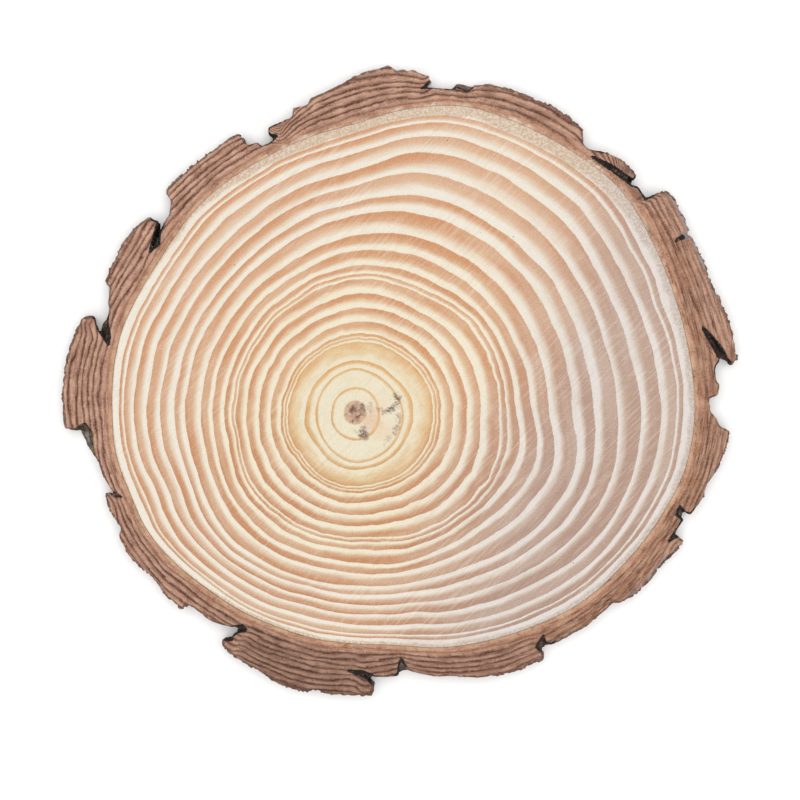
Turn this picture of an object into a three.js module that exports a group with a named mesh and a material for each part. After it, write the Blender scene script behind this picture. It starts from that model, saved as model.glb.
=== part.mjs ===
// A thin slice sawn across a pine log, bark still on, lying flat.
// Millimetres, +Z up. The origin is the middle of the underside, at the centre of the slice's box.
//
// The slice has two sub-parts: wood, a solid disc of growth rings, and bark, the scaly ring that
// grew around it. They part at the cambium, the thin growing layer between the two.
//
// Every outline is drawn from the pith, where the first growth ring started. An angle is in
// degrees, counter-clockwise from +X, and a radius is in millimetres.

import * as THREE from "three";

// Driving dimensions.
const SLICE_THICKNESS = 10;
const CAMBIUM_GAP = 0.3;
const CAMBIUM_SEGMENTS = 144;

// From the pith to the cambium, every 10 degrees. The tree leaned, so it grew fastest towards
// +X and the pith lies well off the middle.
const CAMBIUM_RADII = [
  60.8, 60.7, 60.8, 61.3, 61.9, 60.6, 59.3, 58.0, 54.9, 51.4, 49.6, 48.0,
  46.9, 45.7, 44.3, 43.9, 44.0, 43.7, 43.3, 43.3, 42.7, 42.7, 42.0, 41.2,
  41.0, 40.9, 41.2, 41.5, 42.4, 44.9, 47.3, 50.0, 53.0, 55.2, 57.6, 59.9,
];

// The bark's outer edge on the top face, stretch by stretch, as corners [angle, radius]. lean is
// how much further out a stretch stands at the underside. A corner with a third value has a lean
// of its own: that is how a crack between two plates closes towards the underside.
const BARK_EDGE = [
  // A bitten-out hollow, then a heavy plate whose end hangs free over a tapering crack.
  { lean: -0.3, edge: [[0, 63.6], [2.2, 63.4], [2.6, 65.0], [4.2, 65.5], [4.9, 64.8], [7.0, 65.0]] },
  { lean: 0.5, edge: [[8.0, 66.0, 0.3], [10.0, 65.2], [12.0, 64.4], [13.6, 64.0, 0.6]] },
  { lean: -0.4, edge: [[12.0, 65.2, -0.2], [10.0, 66.4], [8.3, 67.2], [7.3, 68.1, 0]] },
  { lean: 0.1, edge: [[7.8, 69.1], [12.0, 69.0], [17.5, 68.3]] },
  { lean: 0.5, edge: [[18.0, 67.7], [23.0, 67.9], [27.6, 68.0], [28.0, 65.0, 2.6], [28.4, 68.0]] },
  { lean: 0.6, edge: [[31.0, 68.2], [33.5, 68.6], [35.2, 68.2], [35.9, 66.8], [36.1, 64.4]] },
  // A thin strip, split away from the bark behind it.
  { lean: 0.2, edge: [[38.4, 64.6], [39.2, 63.9], [41.5, 63.4], [44.0, 62.8], [47.2, 62.2, 1.0]] },
  { lean: -0.2, edge: [[44.0, 63.5], [41.5, 64.1], [39.6, 64.7], [39.9, 65.7, 0], [43.0, 65.8, 0]] },
  { lean: 0, edge: [[45.5, 64.8], [48.2, 62.9]] },
  // Two plates with a dark hollow between them.
  { lean: 0.4, edge: [[49.4, 62.8], [51.0, 64.7], [54.0, 65.0], [57.0, 65.0], [60.0, 64.3], [64.0, 63.8]] },
  { lean: 0.4, edge: [[68.0, 62.9], [69.8, 62.0], [70.6, 60.7, 1.6], [72.6, 60.9, 1.2], [73.2, 60.2]] },
  { lean: 0.2, edge: [[75.0, 59.8], [76.4, 59.6], [78.2, 59.0, 1.2], [77.0, 60.6]] },
  { lean: -0.2, edge: [[77.4, 61.4], [80.5, 61.9], [83.0, 61.3], [84.5, 61.9], [87.0, 60.9], [90.0, 59.8]] },
  // The same plate thins to ragged steps.
  { lean: 0.2, edge: [[92.5, 58.5], [95.0, 57.4], [98.0, 56.5], [98.8, 55.4], [101.6, 55.4], [102.0, 53.9]] },
  { lean: 0.3, edge: [[104.5, 53.4], [107.0, 53.0], [107.2, 51.8], [105.6, 51.2, 0.8], [107.4, 50.4]] },
  { lean: 0.4, edge: [[109.4, 50.2], [110.0, 51.2], [112.0, 51.4]] },
  { lean: 0.2, edge: [[112.6, 53.6], [115.0, 53.6], [118.0, 53.1], [122.0, 52.7], [126.0, 52.4]] },
  { lean: 0.2, edge: [[130.5, 51.8], [131.0, 49.9], [133.0, 48.4], [135.6, 47.8], [137.6, 47.2, 0.5]] },
  { lean: 1.4, edge: [[139.4, 46.0], [142.0, 46.4], [139.6, 47.3, 0.6], [137.2, 48.3, 0], [136.0, 48.8, 0]] },
  { lean: 0.1, edge: [[136.8, 50.5], [140.0, 51.0], [145.0, 51.0], [150.0, 50.5], [152.5, 50.1]] },
  { lean: 0.3, edge: [[153.0, 49.0], [156.4, 48.0], [157.2, 47.4], [159.4, 47.2, 0.8], [160.8, 46.8, 1.6]] },
  { lean: 2.4, edge: [[162.4, 45.9], [164.8, 45.6], [163.2, 47.0, 1.4], [162.0, 48.2, 1.2]] },
  // An even plate, then a mossy hollow that slopes out to the underside.
  { lean: 0.3, edge: [[160.0, 49.4, 0.6], [161.2, 51.5], [165.0, 51.8], [170.0, 52.2], [176.0, 52.4]] },
  { lean: 0.2, edge: [[180.0, 52.0], [183.0, 51.7], [183.8, 50.0], [182.6, 48.3, 0.8], [184.0, 47.5, 2.2]] },
  { lean: 0.4, edge: [[186.0, 47.3, 1.8], [188.5, 47.3, 1.0], [190.2, 47.1], [191.0, 46.6], [194.0, 46.4]] },
  { lean: 0.4, edge: [[197.2, 45.8], [198.6, 45.3], [200.2, 44.2, 1.4], [199.4, 45.6], [198.0, 46.8, 0]] },
  { lean: -0.2, edge: [[202.0, 47.1], [206.8, 46.6], [207.8, 47.7], [212.0, 47.9], [216.0, 47.4]] },
  { lean: 0.1, edge: [[220.0, 46.7], [224.0, 47.0], [229.4, 47.0], [228.6, 45.7, 0.8], [231.0, 45.4]] },
  { lean: 0.5, edge: [[235.0, 45.4], [238.2, 44.8], [240.4, 44.2], [242.4, 43.1, 1.0], [243.8, 43.6, 0.8]] },
  // A big plate with a pointed end, standing clear of the bark beside it.
  { lean: 0, edge: [[242.0, 44.7, 0.2], [241.4, 45.7], [241.8, 46.3], [240.0, 47.1], [240.8, 48.1]] },
  { lean: 0.1, edge: [[244.0, 48.8], [250.0, 49.5], [255.0, 50.6], [259.0, 50.9], [262.0, 50.4]] },
  { lean: 0.1, edge: [[266.0, 50.6], [270.0, 50.7], [273.4, 50.6], [273.8, 49.0], [272.6, 47.6, -0.2]] },
  { lean: 0.5, edge: [[268.6, 46.3], [272.0, 46.5], [274.4, 47.5], [277.0, 47.7], [279.4, 47.8, 0.3]] },
  { lean: 1.8, edge: [[279.9, 46.0], [280.7, 44.9, 2.8], [281.2, 46.0]] },
  { lean: 0.3, edge: [[281.8, 47.2], [284.0, 48.2], [287.0, 49.5], [290.0, 50.3], [294.0, 52.0]] },
  { lean: 0.3, edge: [[298.0, 53.6], [302.0, 54.5], [307.3, 55.5], [307.9, 54.6], [307.7, 53.1, 1.5]] },
  // Broken scales with grey weathered sides.
  { lean: 0.8, edge: [[310.2, 52.3, 2.2], [309.4, 53.6, 1.2], [310.4, 54.4], [313.4, 55.2], [314.6, 55.4]] },
  { lean: 0.7, edge: [[317.0, 56.4], [322.0, 57.1], [323.6, 57.3], [324.2, 58.4], [327.0, 59.8]] },
  { lean: 0.7, edge: [[330.0, 60.5], [334.0, 61.3], [338.4, 63.2], [338.9, 61.8], [337.6, 60.7, 1.2]] },
  { lean: 0.7, edge: [[339.6, 61.2], [341.8, 61.8], [342.2, 60.4, 1.5], [343.8, 60.5, 1.8], [343.0, 61.8]] },
  { lean: 0.5, edge: [[343.0, 62.8], [346.0, 64.2], [348.5, 64.4], [351.0, 65.7], [354.5, 66.9]] },
  { lean: -0.2, edge: [[357.0, 67.1], [357.6, 65.4], [359.0, 64.6]] },
];

/** The point at an angle and a radius from the pith. */
function atSpoke(degrees, radius) {
  const turn = THREE.MathUtils.degToRad(degrees);
  return new THREE.Vector2(radius * Math.cos(turn), radius * Math.sin(turn));
}

/** The cambium outline as a smooth closed curve, moved outwards by an offset. */
function cambiumOutline(offset) {
  const step = 360 / CAMBIUM_RADII.length;
  const spokes = CAMBIUM_RADII.map((radius, index) => {
    const point = atSpoke(index * step, radius + offset);
    return new THREE.Vector3(point.x, point.y, 0);
  });
  const points = new THREE.CatmullRomCurve3(spokes, true).getPoints(CAMBIUM_SEGMENTS);
  points.pop();
  return points.map((point) => new THREE.Vector2(point.x, point.y));
}

/** The bark's outer outline, at the top face or at the underside. */
function barkOutline(atUnderside) {
  return BARK_EDGE.flatMap((stretch) => stretch.edge.map(([degrees, radius, lean = stretch.lean]) => {
    return atSpoke(degrees, atUnderside ? radius + lean : radius);
  }));
}

/** The same points, raised to a height. */
function raised(points, height) {
  return points.map((point) => new THREE.Vector3(point.x, point.y, height));
}

/** The triangles of the wall from one ring of points up to another, facing out of the solid. */
function wallBetween(lower, upper) {
  return lower.flatMap((corner, index) => {
    const next = (index + 1) % lower.length;
    return [corner, lower[next], upper[next], corner, upper[next], upper[index]];
  });
}

/** The triangles of a flat cap with an optional hole, facing up. */
function capOver(outline, hole, height) {
  const corners = [...raised(outline, height), ...raised(hole, height)];
  const holes = hole.length > 0 ? [hole] : [];
  return THREE.ShapeUtils.triangulateShape(outline, holes).flat().map((index) => corners[index]);
}

/** A closed slab from its outline on top and underneath, with an upright hole where one is given. */
function makeSlab(topOutline, underOutline, hole = []) {
  const triangles = [
    ...wallBetween(raised(underOutline, 0), raised(topOutline, SLICE_THICKNESS)),
    ...wallBetween(raised(hole, SLICE_THICKNESS), raised(hole, 0)),
    ...capOver(topOutline, hole, SLICE_THICKNESS),
    ...capOver(underOutline, hole, 0).reverse(),
  ];
  return new THREE.BufferGeometry().setFromPoints(triangles);
}

/** The sawn disc of growth rings: flat faces and an upright side. */
function makeWood() {
  const outline = cambiumOutline(0);
  const material = new THREE.MeshStandardMaterial({ color: 0xe6c69c, roughness: 0.75, metalness: 0 });
  const wood = new THREE.Mesh(makeSlab(outline, outline), material);
  wood.name = "wood";
  return wood;
}

/** The ring of bark plates around the wood, with its notches and cracks. */
function makeBark() {
  const material = new THREE.MeshStandardMaterial({ color: 0x8a5c47, roughness: 0.95, metalness: 0 });
  const slab = makeSlab(barkOutline(false), barkOutline(true), cambiumOutline(CAMBIUM_GAP));
  const bark = new THREE.Mesh(slab, material);
  bark.name = "bark";
  return bark;
}

const slice = new THREE.Group();
slice.add(makeWood(), makeBark());

// The pith is off centre, so the slice is moved until its box stands centred on the origin.
const middle = new THREE.Box3().setFromObject(slice).getCenter(new THREE.Vector3());
slice.position.set(-middle.x, -middle.y, 0);
slice.updateMatrixWorld(true);

export default slice;
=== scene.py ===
"""A thin slice sawn across a pine log, lying flat: the wood with its growth rings, and the bark.

Everything is in metres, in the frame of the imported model. Shapes that grew round the pith are
given in millimetres from the pith, by an angle in degrees, counter-clockwise from +X.
"""

import logging
import math
from collections.abc import Sequence
from dataclasses import dataclass
from enum import Enum

import bpy
import numpy as np
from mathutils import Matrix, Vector, kdtree, noise


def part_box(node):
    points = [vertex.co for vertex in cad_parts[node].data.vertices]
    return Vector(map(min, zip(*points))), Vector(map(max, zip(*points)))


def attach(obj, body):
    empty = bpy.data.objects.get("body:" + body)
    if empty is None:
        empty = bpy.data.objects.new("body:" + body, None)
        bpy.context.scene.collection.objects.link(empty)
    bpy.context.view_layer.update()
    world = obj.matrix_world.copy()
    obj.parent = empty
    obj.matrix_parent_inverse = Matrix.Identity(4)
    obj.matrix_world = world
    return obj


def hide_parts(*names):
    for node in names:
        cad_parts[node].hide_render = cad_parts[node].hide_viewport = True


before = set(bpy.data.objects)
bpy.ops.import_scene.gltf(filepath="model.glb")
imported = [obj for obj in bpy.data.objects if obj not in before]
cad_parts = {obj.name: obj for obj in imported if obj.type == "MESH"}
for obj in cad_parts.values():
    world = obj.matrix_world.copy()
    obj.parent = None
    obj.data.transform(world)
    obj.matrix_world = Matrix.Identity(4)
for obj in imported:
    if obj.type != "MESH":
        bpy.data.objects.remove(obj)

MM = 0.001
TURN = 360.0

log = logging.getLogger("wood_slice")


# --- Small tools shared by the pieces and the finishes. ---


def linear(code: str) -> tuple[float, float, float, float]:
    """The linear colour of an sRGB hex code.

    Args:
        code: the colour, such as "#d8a680".

    Returns:
        Linear red, green and blue, and an alpha of 1.
    """
    parts = [int(code[i : i + 2], 16) / 255 for i in (1, 3, 5)]
    return (*(c / 12.92 if c <= 0.04045 else ((c + 0.055) / 1.055) ** 2.4 for c in parts), 1.0)


def around(values: Sequence[float], degrees: np.ndarray) -> np.ndarray:
    """A smooth closed curve through evenly spaced spokes.

    Args:
        values: one value for each spoke, the first at 0 degrees.
        degrees: the angles to read the curve at.

    Returns:
        The curve's value at each angle.
    """
    known = np.asarray(values, float)
    place = np.asarray(degrees, float) / TURN * len(known)
    first = np.floor(place).astype(int)
    part = place - first
    a, b, c, d = (known[(first + step) % len(known)] for step in (-1, 0, 1, 2))
    return 0.5 * (
        2 * b
        + (c - a) * part
        + (2 * a - 5 * b + 4 * c - d) * part**2
        + (3 * b - a - 3 * c + d) * part**3
    )


def smooth(low: float, high: float, value: np.ndarray) -> np.ndarray:
    """An even S-shaped step from 0 at low to 1 at high.

    Args:
        low: where the step starts.
        high: where it ends.
        value: the numbers to grade.

    Returns:
        A share from 0 to 1 for each number.
    """
    share = np.clip((value - low) / (high - low), 0, 1)
    return share * share * (3 - 2 * share)


def arc(limits: Sequence[float], degrees: np.ndarray) -> np.ndarray:
    """A stretch of the ring, with a soft end on each side.

    Args:
        limits: where it starts, is full, stops being full and ends, in degrees.
        degrees: the angles to read it at.

    Returns:
        A share from 0 to 1 for each angle.
    """
    return smooth(limits[0], limits[1], degrees) * smooth(limits[3], limits[2], degrees)


def signed(degrees: np.ndarray) -> np.ndarray:
    """Angles from -180 to 180."""
    return (degrees + TURN / 2) % TURN - TURN / 2


def per_corner(mesh: bpy.types.Mesh, vectors: object, name: str) -> np.ndarray:
    """One vector of each of a mesh's corners, a row for each.

    Args:
        mesh: the mesh.
        vectors: its vertices or their normals.
        name: which value to read.

    Returns:
        The rows.
    """
    values = np.zeros(len(mesh.vertices) * 3)
    vectors.foreach_get(name, values)
    return values.reshape(-1, 3)


def rough(points: np.ndarray, per_mm: Sequence[float], seed: float, octaves: int = 3) -> np.ndarray:
    """Layered Perlin noise at many points.

    Args:
        points: one row of millimetres for each point.
        per_mm: how many waves a millimetre holds, along each axis.
        seed: shifts the pattern, so that two patterns differ.
        octaves: how many finer layers are added up.

    Returns:
        The noise at each point, roughly from -1 to 1.
    """
    scaled = points * np.asarray(per_mm) + seed
    return np.array([noise.fractal(Vector(p), 0.6, 2.1, octaves) for p in scaled])


def add_node(
    tree: bpy.types.NodeTree,
    kind: str,
    settings: dict[str, object] | None = None,
    links: dict[str | int, object] | None = None,
) -> bpy.types.Node:
    """Adds one node with its settings and what feeds it.

    Args:
        tree: the material's node tree.
        kind: the node's type name.
        settings: the node's properties, by name.
        links: for each input, by name or number, a value, a node or a node's output.

    Returns:
        The new node.
    """
    node = tree.nodes.new(kind)
    for name, value in (settings or {}).items():
        setattr(node, name, value)
    for name, source in (links or {}).items():
        socket = node.inputs[name]
        if isinstance(source, bpy.types.Node):
            source = next(out for out in source.outputs if out.enabled)
        if isinstance(source, bpy.types.NodeSocket):
            tree.links.new(source, socket)
        else:
            socket.default_value = source
    return node


def set_stops(ramp: bpy.types.Node, stops: Sequence[tuple[float, object]]) -> bpy.types.Node:
    """Gives a colour ramp its stops.

    Args:
        ramp: the ramp node.
        stops: each stop's place from 0 to 1, with a grey level or a colour.

    Returns:
        The same node.
    """
    elements = ramp.color_ramp.elements
    for index, (place, shade) in enumerate(stops):
        element = elements[index] if index < 2 else elements.new(place)
        element.position = place
        element.color = (shade, shade, shade, 1) if isinstance(shade, (int, float)) else shade
    return ramp


class Op(Enum):
    """The sums that the materials need: the kind of node, and what it is set to."""

    ADD = ("ShaderNodeMath", "ADD")
    MULTIPLY = ("ShaderNodeMath", "MULTIPLY")
    MULTIPLY_ADD = ("ShaderNodeMath", "MULTIPLY_ADD")
    FRACT = ("ShaderNodeMath", "FRACT")
    ABSOLUTE = ("ShaderNodeMath", "ABSOLUTE")
    SHIFT = ("ShaderNodeVectorMath", "ADD")
    FROM = ("ShaderNodeVectorMath", "SUBTRACT")
    STRETCH = ("ShaderNodeVectorMath", "MULTIPLY")
    STRETCH_SHIFT = ("ShaderNodeVectorMath", "MULTIPLY_ADD")
    DIRECTION = ("ShaderNodeVectorMath", "NORMALIZE")
    ALONG = ("ShaderNodeVectorMath", "DOT_PRODUCT")
    DISTANCE = ("ShaderNodeVectorMath", "DISTANCE")


@dataclass
class Recipe:
    """A material being made, with the sums and mixes that its pattern is built of."""

    name: str
    roughness: float

    def __post_init__(self) -> None:
        """Makes the material, its shader and its coordinates in millimetres."""
        self.material = bpy.data.materials.new(self.name)
        self.material.use_nodes = True
        self.tree = self.material.node_tree
        self.shader = self.tree.nodes["Principled BSDF"]
        self.shader.inputs["Roughness"].default_value = self.roughness
        place = add_node(self.tree, "ShaderNodeTexCoord")
        self.place = add_node(
            self.tree, "ShaderNodeVectorMath", {"operation": "SCALE"},
            {0: place.outputs["Object"], "Scale": 1 / MM},
        )

    def sum(self, op: Op, *terms: object) -> bpy.types.Node:
        """One sum on up to three terms."""
        kind, operation = op.value
        return add_node(self.tree, kind, {"operation": operation}, dict(enumerate(terms)))

    def total(self, first: object, *others: object) -> object:
        """Values added up.

        Args:
            first: the first value.
            others: the rest of them.

        Returns:
            The node that gives the sum.
        """
        for other in others:
            first = self.sum(Op.ADD, first, other)
        return first

    def product(self, first: object, *others: object) -> object:
        """Values multiplied together.

        Args:
            first: the first value.
            others: the rest of them.

        Returns:
            The node that gives the product.
        """
        for other in others:
            first = self.sum(Op.MULTIPLY, first, other)
        return first

    def mix(self, share: object, first: object, second: object, blend: str = "MIX") -> object:
        """One colour laid over another.

        Args:
            share: how much of the second colour, 0 to 1.
            first: the colour underneath, as an output or an sRGB hex code.
            second: the colour on top, given in the same way.
            blend: how the two are blended.

        Returns:
            The mixed colour's output.
        """
        first, second = (linear(tone) if isinstance(tone, str) else tone for tone in (first, second))
        settings = {"data_type": "RGBA", "blend_type": blend, "clamp_factor": True}
        node = add_node(self.tree, "ShaderNodeMix", settings, {0: share, 6: first, 7: second})
        return node.outputs[2]

    def span(self, value: object, low: object, high: object, start: float = 0, end: float = 1) -> object:
        """A value graded smoothly from one range to another.

        Args:
            value: what is graded.
            low: where the grading starts.
            high: where it ends.
            start: the result at low and below.
            end: the result at high and above.

        Returns:
            The graded value's output.
        """
        links = {"Value": value, "From Min": low, "From Max": high, "To Min": start, "To Max": end}
        node = add_node(self.tree, "ShaderNodeMapRange", {"interpolation_type": "SMOOTHSTEP"}, links)
        return node.outputs["Result"]

    def grain(self, per_mm: float, detail: float = 3, stretch: Sequence[float] = (1, 1, 1),
              turn: float = 0, place: object = None, rough_share: float = 0.55) -> object:
        """Noise of a real size.

        Args:
            per_mm: how many grains a millimetre holds.
            detail: how many finer layers it has.
            stretch: how much closer the grains lie along each axis.
            turn: how far the pattern is turned about +Z, in degrees.
            place: other coordinates to draw it on, in millimetres.
            rough_share: how strong the finer layers are.

        Returns:
            The noise's output, from 0 to 1 with its middle at 0.5.
        """
        mapping = add_node(
            self.tree, "ShaderNodeMapping", {"vector_type": "TEXTURE"},
            {
                "Vector": place or self.place,
                "Rotation": (0, 0, math.radians(turn)),
                "Scale": [1 / closer for closer in stretch],
            },
        )
        links = {"Vector": mapping, "Scale": per_mm, "Detail": detail, "Roughness": rough_share}
        return add_node(self.tree, "ShaderNodeTexNoise", {}, links).outputs["Fac"]

    def sway(self, width: float, per_mm: float, detail: float = 3, place: object = None,
             rough_share: float = 0.55) -> object:
        """Noise that swings evenly about 0.

        Args:
            width: how far apart its ends are.
            per_mm: how many grains a millimetre holds.
            detail: how many finer layers it has.
            place: other coordinates to draw it on, in millimetres.
            rough_share: how strong the finer layers are.

        Returns:
            The node that gives the noise.
        """
        noise_here = self.grain(per_mm, detail, place=place, rough_share=rough_share)
        return self.sum(Op.MULTIPLY_ADD, noise_here, width, -width / 2)

    def carried(self, name: str) -> object:
        """The output of an attribute that the piece's own mesh carries."""
        return add_node(self.tree, "ShaderNodeAttribute", {"attribute_name": name}).outputs["Fac"]

    def finish(self, colour: object, height: object, depth_mm: float) -> bpy.types.Material:
        """Feeds the shader.

        Args:
            colour: the surface's colour.
            height: the fine relief, from 0 to 1.
            depth_mm: how deep that relief is.

        Returns:
            The finished material.
        """
        bump = add_node(
            self.tree, "ShaderNodeBump", {}, {"Height": height, "Distance": depth_mm * MM, "Strength": 1.0}
        )
        self.tree.links.new(colour, self.shader.inputs["Base Color"])
        self.tree.links.new(bump.outputs["Normal"], self.shader.inputs["Normal"])
        return self.material


# --- The growth rings. ---


@dataclass(frozen=True)
class GrowthRing:
    """One year's dark latewood, as it lies on the slice's narrow side, in mm from the pith."""

    start: float
    full: float
    edge: float
    depth: float = 1.0


@dataclass(frozen=True)
class RingShapes:
    """How the rings of the leaning tree are shaped, and where their latewood lies.

    A ring is named by its radius on the narrow side, at 180 degrees. key_radii are the rings
    whose whole shape is given in key_spokes, at even angles. The rings between follow them.
    """

    key_radii: tuple[float, ...] = (4.1, 7.0, 8.8, 19.3, 21.8, 25.4, 30.2, 37.1)
    key_spokes: tuple[tuple[float, ...], ...] = (
        (4.35, 4.3, 4.35, 4.2, 4.05, 4.0, 4.0, 4.5, 4.8, 5.05, 5.05, 4.75),
        (8.5, 7.75, 7.4, 7.55, 7.0, 6.65, 6.7, 7.05, 7.95, 9.0, 9.0, 8.85),
        (10.4, 10.3, 9.7, 9.3, 9.3, 9.2, 9.1, 8.9, 8.7, 8.6, 8.6, 8.6,
         8.8, 9.2, 9.1, 9.2, 9.8, 10.2, 10.4, 10.4, 10.5, 10.6, 10.4, 10.5),
        (22.7, 22.7, 22.6, 22.0, 21.5, 21.4, 20.9, 20.3, 19.8, 19.6, 19.3, 19.2,
         19.3, 19.6, 20.0, 20.3, 20.4, 20.4, 20.6, 20.9, 21.8, 22.7, 23.3, 23.0),
        (27.1, 27.0, 27.0, 26.1, 25.2, 24.8, 24.3, 23.6, 22.5, 22.3, 21.8, 21.6,
         21.8, 21.8, 22.7, 23.2, 23.2, 23.0, 23.2, 24.0, 25.3, 26.4, 27.5, 27.8),
        (31.8, 31.4, 31.1, 30.5, 30.2, 29.6, 28.6, 27.1, 26.1, 25.7, 25.4, 25.4,
         25.4, 25.4, 26.3, 27.0, 27.1, 26.8, 27.1, 28.2, 28.9, 29.8, 31.8, 33.7),
        (38.9, 38.6, 38.6, 38.4, 37.9, 36.8, 34.8, 33.0, 31.4, 30.7, 30.4, 30.2,
         30.2, 30.0, 30.5, 31.4, 31.3, 31.1, 31.3, 32.0, 33.4, 36.0, 39.0, 40.7),
        (51.4, 50.4, 50.0, 50.0, 49.3, 47.8, 43.1, 40.9, 38.9, 37.5, 37.0, 37.3,
         37.1, 36.8, 36.6, 36.3, 36.1, 35.9, 36.1, 37.3, 40.4, 44.1, 48.2, 50.6),
    )
    cambium: float = 43.3
    # Where the outer rings are dented: angle, half-width in degrees, and depth in mm.
    dents: tuple[tuple[float, float, float], ...] = (
        (169, 6, 0.35), (202, 7, 0.5), (218, 7, -0.3), (228, 5, -0.2), (256, 6, 0.3), (287, 4, 0.25),
    )
    latewood: tuple[GrowthRing, ...] = tuple(
        GrowthRing(*numbers)
        for numbers in (
            (3.72, 3.98, 4.14, 0.85), (6.72, 7.0, 7.16, 0.8), (7.95, 8.4, 8.75, 0.85),
            (9.5, 11.4, 11.75, 0.82), (12.0, 12.2, 12.36, 0.85), (12.45, 12.75, 13.0, 1.0),
            (13.45, 14.1, 14.8, 0.95), (15.5, 16.4, 17.0, 0.97), (17.75, 18.5, 19.15, 1.0),
            (19.8, 20.5, 21.05, 1.0), (21.33, 21.5, 21.78, 0.85), (22.15, 22.6, 23.1, 1.0),
            (23.8, 24.3, 25.3, 1.0), (26.0, 26.5, 27.4, 1.0), (28.1, 29.1, 30.12, 0.95),
            (30.9, 31.6, 32.15, 0.95), (32.9, 33.8, 34.65, 0.97), (35.2, 36.1, 37.0, 0.93),
            (37.65, 38.5, 39.2, 0.93), (39.85, 40.5, 41.05, 0.88), (41.36, 41.6, 41.9, 0.85),
        )
    )

    def radius(self, ring: np.ndarray, degrees: np.ndarray, rim: np.ndarray) -> np.ndarray:
        """How far from the pith a ring lies.

        Args:
            ring: each point's ring, by its radius on the narrow side.
            degrees: each point's angle.
            rim: the cambium's radius at that angle.

        Returns:
            Each point's radius in mm.
        """
        radii = (0.0, *self.key_radii, self.cambium)
        spokes = [np.zeros_like(rim), *(around(k, degrees) for k in self.key_spokes), rim]
        place = np.clip(np.searchsorted(radii, ring, side="right") - 1, 0, len(radii) - 2)
        low, high = np.take(radii, place), np.take(radii, place + 1)
        part = (ring - low) / (high - low)
        table = np.stack(spokes)
        column = np.arange(len(ring))
        straight = table[place, column] * (1 - part) + table[place + 1, column] * part
        inward = smooth(29, 34, ring) * smooth(42.6, 40, ring)
        for centre, width, depth in self.dents:
            straight -= inward * depth * np.exp(-(((degrees - centre) / width) ** 2))
        return straight


# --- Finishes. ---


@dataclass(frozen=True)
class Stain:
    """A brown fleck where a branch trace or resin coloured the wood, from the pith, in mm."""

    right: float
    up: float
    size: float
    strength: float
    tone: str = "#5e4038"


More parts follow.
